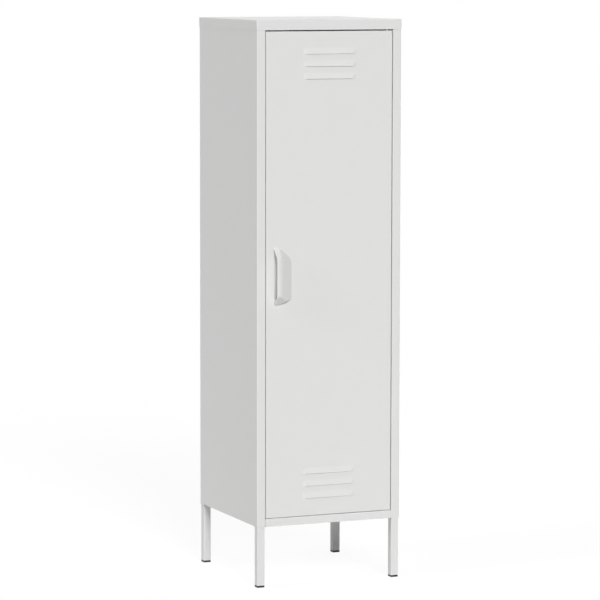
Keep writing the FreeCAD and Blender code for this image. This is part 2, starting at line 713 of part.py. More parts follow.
def pivot_bracket(z, inward):
    """Angle that holds a pivot pin inside the door, on the flange at height z."""
    root = door_right - SHEET
    points = [(root - BRACKET_WIDTH, 0), (root, 0), (root, inward * BRACKET_HEIGHT)]
    if inward < 0:
        points.reverse()

    def behind_face(u, v):
        return FreeCAD.Vector(u, front + DOOR_BEND, z + v)

    plate = bent_sheet(points, BRACKET_SHEET, BEND, behind_face, Y_AXIS * bracket_depth)
    return plate.cut(hinge_rod(pin_hole_radius, z - BRACKET_HEIGHT, z + BRACKET_HEIGHT))


def pivot_pin(sheet_z, door_z, outward, with_collar):
    """Pivot pin from the head inside the door to its end in the bush beyond sheet_z."""
    axis = Z_AXIS * outward
    tip = FreeCAD.Vector(hinge_x, hinge_y, sheet_z) + axis * (SHEET + PIN_ENGAGEMENT)
    seat = FreeCAD.Vector(hinge_x, hinge_y, door_z) - axis * (SHEET + BRACKET_SHEET)
    head = rod(PIN_HEAD_RADIUS, seat - axis * PIN_HEAD, seat)
    shank = rod(PIN_RADIUS, seat, tip)
    end_edge = [edge for edge in shank.Edges if edge.Closed and
                abs(edge.CenterOfMass.z - tip.z) < ON_PLANE]
    pieces = [head, shank.makeChamfer(PIN_CHAMFER, end_edge)]
    if with_collar:
        door_face = FreeCAD.Vector(hinge_x, hinge_y, door_z)
        bush_face = FreeCAD.Vector(hinge_x, hinge_y, sheet_z) - axis * (BUSH_FLANGE + THRUST_GAP)
        pieces.append(rod(COLLAR_RADIUS, door_face, bush_face))
    return joined(pieces)


def bush(sheet_z, outward, flange_inside):
    """Nylon bush in the sheet whose door-side face is at sheet_z."""
    axis = Z_AXIS * outward
    centre = FreeCAD.Vector(hinge_x, hinge_y, sheet_z)
    neck = rod(bush_radius, centre, centre + axis * BUSH_LENGTH)
    flange_start = centre - axis * BUSH_FLANGE if flange_inside else centre + axis * SHEET
    flange = rod(BUSH_FLANGE_RADIUS, flange_start, flange_start + axis * BUSH_FLANGE)
    bore = rod(pin_hole_radius, centre - axis * (BUSH_FLANGE + CUT_OVER),
               centre + axis * (BUSH_LENGTH + CUT_OVER))
    return joined([neck, flange]).cut(bore)


def bush_hole():
    """Clearance for the neck of either bush."""
    radius = bush_radius + HOLE_CLEARANCE
    reach = SHEET + CUT_OVER
    return hinge_rod(radius, floor_top - reach, floor_top + reach).fuse(
        hinge_rod(radius, skirt_bottom - reach, skirt_bottom + reach))


def hinge_set():
    """Brackets, pins and bushes of the two pivots, by node name."""
    return {
        "upper_pivot_bracket": pivot_bracket(door_top - SHEET, -1),
        "lower_pivot_bracket": pivot_bracket(door_bottom + SHEET, 1),
        "upper_pivot_pin": pivot_pin(skirt_bottom, door_top, 1, False),
        "lower_pivot_pin": pivot_pin(floor_top, door_bottom, -1, True),
        "upper_pivot_bush": bush(skirt_bottom, 1, False),
        "lower_pivot_bush": bush(floor_top, -1, True)}


# ---- handle ----------------------------------------------------------------------------
def handle_form(inset):
    """Hipped form of the pull, shrunk by inset on its closed sides, in front of y = 0."""
    top = HANDLE_HEIGHT / 2 - inset
    ridge_end = HANDLE_RIDGE_LENGTH / 2 - inset * HANDLE_END_SHARE
    wide = HANDLE_WIDTH - inset * HANDLE_TOE_SHARE
    ridge = HANDLE_RIDGE - inset * HANDLE_RIDGE_SHARE
    out = -(HANDLE_PROJECTION - inset)
    corners = {
        "A": FreeCAD.Vector(0, 0, -top), "B": FreeCAD.Vector(0, 0, top),
        "C": FreeCAD.Vector(HANDLE_TOP_FLAT - inset, 0, top),
        "D": FreeCAD.Vector(wide, 0, top - HANDLE_TOP_CUT),
        "E": FreeCAD.Vector(wide, 0, -top + HANDLE_BOTTOM_CUT),
        "F": FreeCAD.Vector(HANDLE_TOP_FLAT - inset, 0, -top),
        "P": FreeCAD.Vector(0, out, -ridge_end), "Q": FreeCAD.Vector(0, out, ridge_end),
        "R": FreeCAD.Vector(ridge, out, ridge_end), "S": FreeCAD.Vector(ridge, out, -ridge_end)}
    return facets(corners, ("ABCDEF", "ABQP", "BCRQ", "CDR", "DESR", "EFS", "FAPS", "PQRS"))


def handle():
    """Moulded pull: a hipped shell, open towards the door's free edge, with screw bosses."""
    solid = handle_form(0.0)
    ridge = edges_where(solid, lambda p: abs(p.x - HANDLE_RIDGE) < ON_PLANE and p.y < -HANDLE_WALL)
    solid = solid.makeFillet(HANDLE_RIDGE_ROUND, ridge)
    hollow = handle_form(HANDLE_WALL)
    hollow = hollow.fuse(moved(hollow, x=-HANDLE_WALL * 2)).fuse(moved(hollow, y=CUT_OVER))
    shell = solid.cut(hollow)
    for place in (-BOSS_SPACING / 2, BOSS_SPACING / 2):
        seat = FreeCAD.Vector(BOSS_FROM_MOUTH, 0, place)
        boss = rod(BOSS_RADIUS, seat, seat - Y_AXIS * HANDLE_PROJECTION).common(solid)
        bore = rod(PANEL_SCREW_RADIUS + HOLE_CLEARANCE, seat + Y_AXIS, seat - Y_AXIS * BOSS_HEIGHT)
        shell = shell.fuse(boss).cut(bore)
    return moved(shell.removeSplitter(), x=handle_x, y=front, z=handle_centre)


def handle_screw_places():
    """Seats of the handle screws on the inside of the door."""
    x = handle_x + BOSS_FROM_MOUTH
    return [(FreeCAD.Vector(x, front + SHEET, handle_centre + side * BOSS_SPACING / 2),
             Y_AXIS * -1) for side in (-1, 1)]


# ---- magnetic catches ------------------------------------------------------------------
def catch_base(end):
    """Height of the face that a catch is screwed to, and its direction away from it."""
    return (skirt_bottom, -1) if end == "upper" else (floor_top, 1)


def catch_screw_places(end):
    """Seats of the two screws of a catch."""
    base, away = catch_base(end)
    reach = CATCH_LENGTH / 2 + CATCH_EAR / 2
    y = catch_front + CATCH_DEPTH / 2
    return [(FreeCAD.Vector(catch_x + side * reach, y, base + away * CATCH_EAR_HEIGHT),
             Z_AXIS * -away) for side in (-1, 1)]


def rivet_places(end):
    """Centres of the two rivets of a strike plate."""
    z = strike_height(end)
    reach = STRIKE_LENGTH / 2 - RIVET_FROM_END
    return [FreeCAD.Vector(catch_x + side * reach, door_rear, z) for side in (-1, 1)]


def strike_height(end):
    """Height of the middle of a strike plate, on the door's return lip."""
    inset = SHEET + STRIKE_HEIGHT / 2 + STRIKE_FROM_FOLD
    return door_top - inset if end == "upper" else door_bottom + inset


def catch_parts(end):
    """One magnetic catch and its strike, by node name."""
    base, away = catch_base(end)
    half = CATCH_LENGTH / 2
    rear = catch_front + CATCH_DEPTH

    def spans(low, high):
        return tuple(sorted((base + away * low, base + away * high)))

    body = box((catch_x - half, catch_x + half), (catch_front, rear), spans(0, CATCH_HEIGHT))
    body = body.makeFillet(CATCH_ROUND, edges_along(body, Y_AXIS))
    ears = box((catch_x - half - CATCH_EAR, catch_x + half + CATCH_EAR),
               (catch_front + CATCH_EAR_INSET, rear - CATCH_EAR_INSET),
               spans(0, CATCH_EAR_HEIGHT))
    ears = ears.makeFillet(CATCH_EAR_INSET, edges_along(ears, Z_AXIS))
    core_half = half - CATCH_SHELL
    middle = CATCH_HEIGHT / 2
    low = middle - MAGNET_HEIGHT / 2
    high = middle + MAGNET_HEIGHT / 2
    pocket = box((catch_x - core_half, catch_x + core_half),
                 (catch_front - CUT_OVER, catch_front + MAGNET_DEPTH),
                 spans(low - POLE_SHEET, high + POLE_SHEET))
    housing = joined([body, ears]).cut(pocket)
    housing = cut_holes(housing, CATCH_SCREW_RADIUS, catch_screw_places(end),
                        CATCH_EAR_HEIGHT + CUT_OVER)
    magnet = box((catch_x - core_half, catch_x + core_half),
                 (catch_front, catch_front + MAGNET_DEPTH), spans(low, high))
    poles = [box((catch_x - core_half, catch_x + core_half),
                 (catch_front - POLE_PROUD, catch_front + MAGNET_DEPTH), span)
             for span in (spans(low - POLE_SHEET, low), spans(high, high + POLE_SHEET))]
    z = strike_height(end)
    plate = box((catch_x - STRIKE_LENGTH / 2, catch_x + STRIKE_LENGTH / 2),
                (door_rear, door_rear + STRIKE_SHEET),
                (z - STRIKE_HEIGHT / 2, z + STRIKE_HEIGHT / 2))
    plate = plate.makeFillet(STRIKE_ROUND, edges_along(plate, Y_AXIS))
    for place in rivet_places(end):
        plate = plate.cut(rivet_hole(place))
    return {f"{end}_catch_housing": housing, f"{end}_catch_magnet": magnet,
            f"{end}_catch_pole_plates": Part.makeCompound(poles),
            f"{end}_strike_plate": plate}


def rivet(place):
    """Flush rivet through a strike plate and the door's lip, headed inside the lip."""
    shank = rod(RIVET_RADIUS, place - Y_AXIS * SHEET, place + Y_AXIS * STRIKE_SHEET)
    head = rod(RIVET_HEAD_RADIUS, place - Y_AXIS * (SHEET + RIVET_HEAD), place - Y_AXIS * SHEET)
    return joined([shank, head])


def rivet_hole(place):
    """Clearance hole for a rivet through the lip and the strike plate."""
    return rod(RIVET_RADIUS + HOLE_CLEARANCE, place - Y_AXIS * (SHEET + CUT_OVER),
               place + Y_AXIS * (STRIKE_SHEET + CUT_OVER))


# ---- fastener groups -------------------------------------------------------------------
def both_sides(radius, length, places):
    """Screws at left-hand places, and the same on the right."""
    left = [screw(radius, length, seat, direction) for seat, direction in places]
    return left + [mirrored(piece) for piece in left]


def lid_stud(top):
    """Stud welded under the lid."""
    return rod(PANEL_SCREW_RADIUS, top, top - Z_AXIS * STUD_LENGTH)


def stud_hole(top):
    """Clearance hole for a lid stud in the flange under the lid."""
    return rod(PANEL_SCREW_RADIUS + HOLE_CLEARANCE, top + Z_AXIS, top - Z_AXIS * STUD_LENGTH)


def lid_nut(top):
    """Hexagon nut on a lid stud, below the flange."""
    seat = top - Z_AXIS * SHEET
    corners = [seat + FreeCAD.Vector(math.cos(math.radians(angle)),
                                     math.sin(math.radians(angle)), 0) * NUT_RADIUS
               for angle in range(0, 360, 60)]
    prism = Part.Face(Part.makePolygon(corners + corners[:1])).extrude(Z_AXIS * -NUT_HEIGHT)
    return prism.cut(stud_hole(top))


def fasteners():
    """All fastener groups, by node name."""
    leg_places = leg_screw_places("front") + leg_screw_places("rear")
    catch_places = catch_screw_places("upper") + catch_screw_places("lower")
    rivet_centres = rivet_places("upper") + rivet_places("lower")
    groups = {
        "leg_screws": both_sides(LEG_SCREW_RADIUS, leg_screw_reach + SCREW_TIP, leg_places),
        "floor_screws": both_sides(PANEL_SCREW_RADIUS, PANEL_SCREW_LENGTH,
                                   floor_screw_places()),
        "back_panel_screws": both_sides(PANEL_SCREW_RADIUS, PANEL_SCREW_LENGTH,
                                        back_screw_places()),
        "header_screws": both_sides(PANEL_SCREW_RADIUS, PANEL_SCREW_LENGTH,
                                    header_screw_places()),
        "handle_screws": [screw(PANEL_SCREW_RADIUS, BOSS_HEIGHT - SCREW_TIP_ROOM, *place)
                          for place in handle_screw_places()],
        "catch_screws": [screw(CATCH_SCREW_RADIUS, CATCH_EAR_HEIGHT + SCREW_TIP, *place)
                         for place in catch_places],
        "strike_rivets": [rivet(place) for place in rivet_centres],
        "lid_studs": [lid_stud(top) for top in lid_stud_places()],
        "lid_nuts": [lid_nut(top) for top in lid_stud_places()]}
    return {name: Part.makeCompound(pieces) for name, pieces in groups.items()}


# ---- whole locker ----------------------------------------------------------------------
def locker():
    """Every node of the locker, by name."""
    left = side_panel()
    nodes = {
        "lid": lid(), "left_side_panel": left, "right_side_panel": mirrored(left),
        "back_panel": back_panel(), "floor_panel": floor_panel(),
        "header_channel": header_channel(), "door_skin": door_skin(),
        "door_stiffener": door_stiffener(), "door_handle": handle()}
    for group in (leg_set(), shelf_set(), hinge_set(), catch_parts("upper"),
                  catch_parts("lower"), fasteners()):
        nodes.update(group)
    return nodes


os.makedirs("parts", exist_ok=True)
for node, shape in locker().items():
    shape.exportStep(f"parts/{node}.step")
    state = "ok" if shape.isValid() else "not valid"
    print(f"{node}: {len(shape.Solids)} solids, {shape.Volume:.1f} mm3, {state}")
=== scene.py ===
"""Looks of a tall steel side locker: its finishes, moulded pull, studio and camera.

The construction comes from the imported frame. This script dresses every node of it, moulds the
pull, whose form is softer than its construction solid, and sets the studio round them.
"""

import logging
import math
from collections.abc import Callable, Iterable, Mapping, Sequence
from dataclasses import dataclass
from enum import Enum, IntEnum
from functools import partial

import bmesh
import bpy
from mathutils import Matrix, Vector


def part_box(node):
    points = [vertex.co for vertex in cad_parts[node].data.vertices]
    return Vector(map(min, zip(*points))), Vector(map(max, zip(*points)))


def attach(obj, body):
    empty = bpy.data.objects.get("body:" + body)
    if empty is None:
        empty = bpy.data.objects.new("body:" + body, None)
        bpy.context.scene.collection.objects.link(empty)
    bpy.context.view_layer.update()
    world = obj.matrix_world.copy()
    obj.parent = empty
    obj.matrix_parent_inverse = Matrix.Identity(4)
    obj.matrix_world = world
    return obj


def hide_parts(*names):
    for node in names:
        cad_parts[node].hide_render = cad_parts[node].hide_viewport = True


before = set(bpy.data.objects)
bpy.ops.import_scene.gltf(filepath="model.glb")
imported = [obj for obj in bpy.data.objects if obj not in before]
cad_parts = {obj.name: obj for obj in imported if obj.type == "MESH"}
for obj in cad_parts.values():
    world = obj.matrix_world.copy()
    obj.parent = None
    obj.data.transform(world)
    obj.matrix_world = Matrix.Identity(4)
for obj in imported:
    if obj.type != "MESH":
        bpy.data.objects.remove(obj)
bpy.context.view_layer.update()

MM = 0.001
NOISE_MEAN = 0.5         # what smooth noise averages
WHITE = (1.0,) * 4
MIX_FACTOR, MIX_LOW, MIX_HIGH, MIX_RESULT = 0, 6, 7, 2     # places of a colour Mix's sockets
LOG = logging.getLogger("locker")

Colour = tuple[float, float, float]
Place = tuple[float, float, float]
Grid = list[list[bmesh.types.BMVert]]


# ---- shader maths ----------------------------------------------------------------------
class Value:
    """An output socket of a shader, which Python expressions turn into Math nodes."""

    def __init__(self, tree: "Tree", socket: bpy.types.NodeSocket | None) -> None:
        """Hold a socket and the tree that it belongs to."""
        self.tree = tree
        self.socket = socket

    def math(self, operation: str, *terms: "Value | float") -> "Value":
        """Combine terms with one Math node.

        Args:
            operation: the Math node's operation.
            terms: its inputs, in order.

        Returns:
            The node's output.
        """
        return self.tree.node("ShaderNodeMath", {"operation": operation}, dict(enumerate(terms)))

    def __add__(self, other: "Value | float") -> "Value":
        """Sum of two values."""
        return self.math("ADD", self, other)

    def __radd__(self, other: float) -> "Value":
        """Sum with a number on the left."""
        return self.math("ADD", other, self)

    def __sub__(self, other: "Value | float") -> "Value":
        """Difference of two values."""
        return self.math("SUBTRACT", self, other)

    def __rsub__(self, other: float) -> "Value":
        """Difference with a number on the left."""
        return self.math("SUBTRACT", other, self)

    def __mul__(self, other: "Value | float") -> "Value":
        """Product of two values."""
        return self.math("MULTIPLY", self, other)

    def __rmul__(self, other: float) -> "Value":
        """Product with a number on the left."""
        return self.math("MULTIPLY", other, self)

    def at_least(self, floor: float) -> "Value":
        """The larger of this value and a number."""
        return self.math("MAXIMUM", self, floor)

    def either(self, other: "Value") -> "Value":
        """The larger of two masks."""
        return self.math("MAXIMUM", self, other)


@dataclass(frozen=True)
class Swell:
    """Smooth noise of one scale."""

    size: float               # breadth of one swell, in metres
    detail: float = 2.0       # number of finer octaves
    height: float = 0.0       # how high it stands on a surface, in metres


class Tree:
    """A node tree, with one method that makes any node."""

    def __init__(self, owner: bpy.types.Material | bpy.types.World) -> None:
        """Start an empty tree on a material or world.

        Args:
            owner: the material or world that the tree belongs to.
        """
        owner.use_nodes = True
        self.nodes = owner.node_tree.nodes
        self.links = owner.node_tree.links
        self.nodes.clear()

    def node(self, kind: str, settings: Mapping[str, str] | None = None,
             inputs: Mapping[str | int, Value | float | Iterable] | None = None,
             output: str | int = 0) -> Value:
        """Make one node.

        Args:
            kind: the node's type.
            settings: its own settings, such as an operation, set first.
            inputs: the value or link of each socket, by name or place.
            output: the output socket to return.

        Returns:
            The chosen output.
        """
        made = self.nodes.new(kind)
        for name, setting in (settings or {}).items():
            setattr(made, name, setting)
        for name, value in (inputs or {}).items():
            if isinstance(value, Value):
                self.links.new(value.socket, made.inputs[name])
            else:
                made.inputs[name].default_value = value
        return Value(self, made.outputs[output] if made.outputs else None)

    def place(self) -> Value:
        """Position on the object, in metres."""
        return self.node("ShaderNodeTexCoord", output="Object")

    def stretched(self, where: Value, scale: Place) -> Value:
        """Position scaled differently along each axis."""
        return self.node("ShaderNodeMapping", {"vector_type": "POINT"},
                         {"Vector": where, "Scale": scale})

    def noise(self, where: Value, swell: Swell) -> Value:
        """Smooth noise from 0 to 1 that follows a position."""
        return self.node("ShaderNodeTexNoise", {"noise_dimensions": "3D"},
                         {"Vector": where, "Scale": 1.0 / swell.size, "Detail": swell.detail})

    def blend(self, share: Value, low: Colour, high: Colour) -> Value:
        """Colour between two colours."""
        return self.node("ShaderNodeMix", {"data_type": "RGBA"},
                         {MIX_FACTOR: share, MIX_LOW: (*low, 1.0), MIX_HIGH: (*high, 1.0)},
                         output=MIX_RESULT)

    def bumps(self, height: Value) -> Value:
        """Normal of a surface whose height is given in metres."""
        return self.node("ShaderNodeBump", None,
                         {"Strength": 1.0, "Distance": 1.0, "Height": height}, output="Normal")

    def surface(self, shader: Value) -> None:
        """Make a shader the material's surface."""
        self.node("ShaderNodeOutputMaterial", None, {"Surface": shader})


# ---- finishes --------------------------------------------------------------------------
@dataclass(frozen=True)
class Coating:
    """A finish made of one principled shader."""

    name: str

    def inputs(self, tree: Tree, where: Value) -> dict[str, Value | float]:
        """Work out the shader's inputs.

        Args:
            tree: the material's node tree.
            where: position on the object.

        Returns:
            The value of each socket, by name.
        """
        raise NotImplementedError

    def material(self) -> bpy.types.Material:
        """Build the finish.

        Returns:
            The finished material.
        """
        made = bpy.data.materials.new(self.name)
        tree = Tree(made)
        inputs = self.inputs(tree, tree.place())
        tree.surface(tree.node("ShaderNodeBsdfPrincipled", None, inputs))
        return made


@dataclass(frozen=True)
class PowderCoat(Coating):
    """Satin powder coat on folded sheet: orange peel, faint mottling and slack in the sheet."""

    name: str = "white_powder_coat"
    colour: Colour = (0.80, 0.80, 0.795)
    thin_colour: Colour = (0.785, 0.785, 0.78)
    roughness: float = 0.42
    roughness_spread: float = 0.10
    ior: float = 1.5
    peel: Swell = Swell(1.4 * MM, 1.5, 0.010 * MM)
    pits: Swell = Swell(0.35 * MM, 1.0, 0.0015 * MM)
    slack: Swell = Swell(190 * MM, 0.5, 0.35 * MM)
    mottle: Swell = Swell(45 * MM, 4.0)
    mottle_share: float = 0.6         # of what changes the gloss; the peel has the rest

    def inputs(self, tree: Tree, where: Value) -> dict[str, Value | float]:
        """Work out the shader's inputs.

        Args:
            tree: the material's node tree.
            where: position on the object.

        Returns:
            The value of each socket, by name.
        """
        peel = tree.noise(where, self.peel)
        mottle = tree.noise(where, self.mottle)
        height = (peel * self.peel.height + tree.noise(where, self.pits) * self.pits.height
                  + tree.noise(where, self.slack) * self.slack.height)
        drift = mottle * self.mottle_share + peel * (1.0 - self.mottle_share) - NOISE_MEAN
        return {"Base Color": tree.blend(mottle, self.thin_colour, self.colour),
                "Roughness": self.roughness + drift * self.roughness_spread,
                "IOR": self.ior,
                "Normal": tree.bumps(height)}


@dataclass(frozen=True)
class Moulding(Coating):
    """Injection-moulded plastic: fine spark grain, with flow marks in its gloss."""

    colour: Colour
    deep_colour: Colour
    roughness: float = 0.35
    roughness_spread: float = 0.12
    ior: float = 1.49
    grain: Swell = Swell(0.45 * MM, 2.0, 0.004 * MM)
    flow: Swell = Swell(14 * MM, 3.0)
    flow_scale: Place = (1.0, 1.0, 0.35)      # the marks run up and down

    def inputs(self, tree: Tree, where: Value) -> dict[str, Value | float]:
        """Work out the shader's inputs.

        Args:
            tree: the material's node tree.
            where: position on the object.

        Returns:
            The value of each socket, by name.
        """
        grain = tree.noise(where, self.grain)
        flow = tree.noise(tree.stretched(where, self.flow_scale), self.flow)
        drift = flow + grain - 2.0 * NOISE_MEAN
        return {"Base Color": tree.blend(flow, self.deep_colour, self.colour),
                "Roughness": self.roughness + drift * self.roughness_spread,
                "IOR": self.ior,
                "Normal": tree.bumps(grain * self.grain.height)}


@dataclass(frozen=True)
class Metal(Coating):
    """Bare or plated steel: tumbled scratches, cloudy gloss and a drift in its tint."""

    colour: Colour
    tint: Colour
    roughness: float = 0.32
    roughness_spread: float = 0.22
    least_roughness: float = 0.08
    cloud: Swell = Swell(6 * MM, 4.0)
    scratch: Swell = Swell(0.5 * MM, 2.0, 0.006 * MM)
    scratch_stretch: float = 9.0

    def inputs(self, tree: Tree, where: Value) -> dict[str, Value | float]:
        """Work out the shader's inputs.

        Args:
            tree: the material's node tree.
            where: position on the object.

        Returns:
            The value of each socket, by name.
        """
        cloud = tree.noise(where, self.cloud)
        narrow = 1.0 / self.scratch_stretch
        along = tree.noise(tree.stretched(where, (1.0, narrow, 1.0)), self.scratch)
        across = tree.noise(tree.stretched(where, (narrow, 1.0, 1.0)), self.scratch)
        scratches = (along + across) * 0.5
        drift = cloud + scratches - 2.0 * NOISE_MEAN
        roughness = self.roughness + drift * self.roughness_spread
        return {"Base Color": tree.blend(cloud, self.colour, self.tint),
                "Metallic": 1.0,
                "Roughness": roughness.at_least(self.least_roughness),
                "Normal": tree.bumps(scratches * self.scratch.height)}


@dataclass(frozen=True)
class Sintered(Coating):
    """Pressed ferrite: matt, near black, with pale grains."""

    name: str = "dark_magnet"
    colour: Colour = (0.045, 0.045, 0.050)
    grain_colour: Colour = (0.10, 0.10, 0.105)
    roughness: float = 0.62
    roughness_spread: float = 0.2
    grain: Swell = Swell(0.3 * MM, 3.0, 0.012 * MM)

    def inputs(self, tree: Tree, where: Value) -> dict[str, Value | float]:
        """Work out the shader's inputs.

        Args:
            tree: the material's node tree.
            where: position on the object.

        Returns:
            The value of each socket, by name.
        """
        grain = tree.noise(where, self.grain)
        return {"Base Color": tree.blend(grain, self.colour, self.grain_colour),
                "Roughness": self.roughness + (grain - NOISE_MEAN) * self.roughness_spread,
                "Normal": tree.bumps(grain * self.grain.height)}


class Finish(Enum):
    """The locker's finishes, by the record's slot."""

    COAT = PowderCoat()
    PULL = Moulding("white_moulded_plastic", (0.80, 0.80, 0.795), (0.785, 0.785, 0.78))
    CAP = Moulding("black_cap_plastic", (0.022, 0.022, 0.023), (0.014, 0.014, 0.015),
                   roughness=0.5, grain=Swell(0.45 * MM, 2.0, 0.008 * MM))
    ZINC = Metal("zinc_plate", (0.60, 0.62, 0.65), (0.66, 0.65, 0.60))
    NYLON = Moulding("nylon", (0.78, 0.77, 0.71), (0.72, 0.70, 0.63), roughness=0.45)
    CATCH = Moulding("grey_catch_plastic", (0.30, 0.31, 0.32), (0.26, 0.27, 0.28), roughness=0.42)
    MAGNET = Sintered()
    STEEL = Metal("bare_steel", (0.50, 0.50, 0.49), (0.56, 0.55, 0.53), roughness=0.38)


class Paintbox:
    """Makes each finish once and puts it on pieces."""

    def __init__(self) -> None:
        """Start with no finish made."""
        self.made: dict[Finish, bpy.types.Material] = {}

    def dress(self, piece: bpy.types.Object, finish: Finish) -> None:
        """Give a piece one finish all over.

        Args:
            piece: the object to dress.
            finish: the finish that it gets.
        """
        if finish not in self.made:
            self.made[finish] = finish.value.material()
        slots = piece.material_slots
        if not slots:
            piece.data.materials.append(None)
        for slot in slots:
            slot.link = "OBJECT"
            slot.material = self.made[finish]
        LOG.info("%s: %s", piece.name, finish.value.name)

    def dress_nodes(self, finish: Finish, *names: str) -> None:
        """Give nodes of the construction one finish.

        Args:
            finish: the finish that they get.
            names: the nodes' names.
        """
        for name in names:
            self.dress(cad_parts[name], finish)


# ---- sub-assemblies --------------------------------------------------------------------
@dataclass
class Carcass:
    """Folded body: lid, sides, back, floor and header."""

    paint: Paintbox
    panels: tuple[str, ...] = ("lid", "left_side_panel", "right_side_panel", "back_panel",
                               "floor_panel", "header_channel")

    def dress(self) -> None:
        """Powder coat the panels."""
        self.paint.dress_nodes(Finish.COAT, *self.panels)


@dataclass
class Legs:
    """Four square tubes, each on a plastic cap."""

    paint: Paintbox

    def dress(self) -> None:
        """Coat the tubes and leave the caps black."""
        for end in ("front", "rear"):
            for side in ("left", "right"):
                self.paint.dress_nodes(Finish.COAT, f"{end}_{side}_leg")
                self.paint.dress_nodes(Finish.CAP, f"{end}_{side}_foot_cap")


@dataclass
class Shelving:
    """Shelves and the clips that carry them."""

    paint: Paintbox

    def dress(self) -> None:
        """Coat the shelves and plate the clips."""
        for level in ("lower", "middle", "upper"):
            self.paint.dress_nodes(Finish.COAT, f"{level}_shelf")
            self.paint.dress_nodes(Finish.ZINC, f"{level}_shelf_clips")


@dataclass(frozen=True)
class Facet:
    """A flat face of a hipped form, which rises over the door from a line on it, in mm."""

    across: float             # a place on the line, from the mouth
    along: float              # the same place, up from the middle
    towards: float            # the way it rises, in degrees from across to up
    rise: float               # height gained per mm

    def height(self, across: float, along: float, wall: float = 0.0) -> float:
        """Height of the facet, or of its inner side.

        Args:
            across: distance from the mouth.
            along: distance up from the middle.
            wall: thickness to the inner side.

        Returns:
            Height over the door.
        """
        turn = math.radians(self.towards)
        gone = (across - self.across) * math.cos(turn) + (along - self.along) * math.sin(turn)
        return self.rise * gone - wall * math.hypot(1.0, self.rise)


class End(IntEnum):
    """Which end of a surface a row is; both end rows lie on the door."""

    BOTTOM = -1
    BETWEEN = 0
    TOP = 1


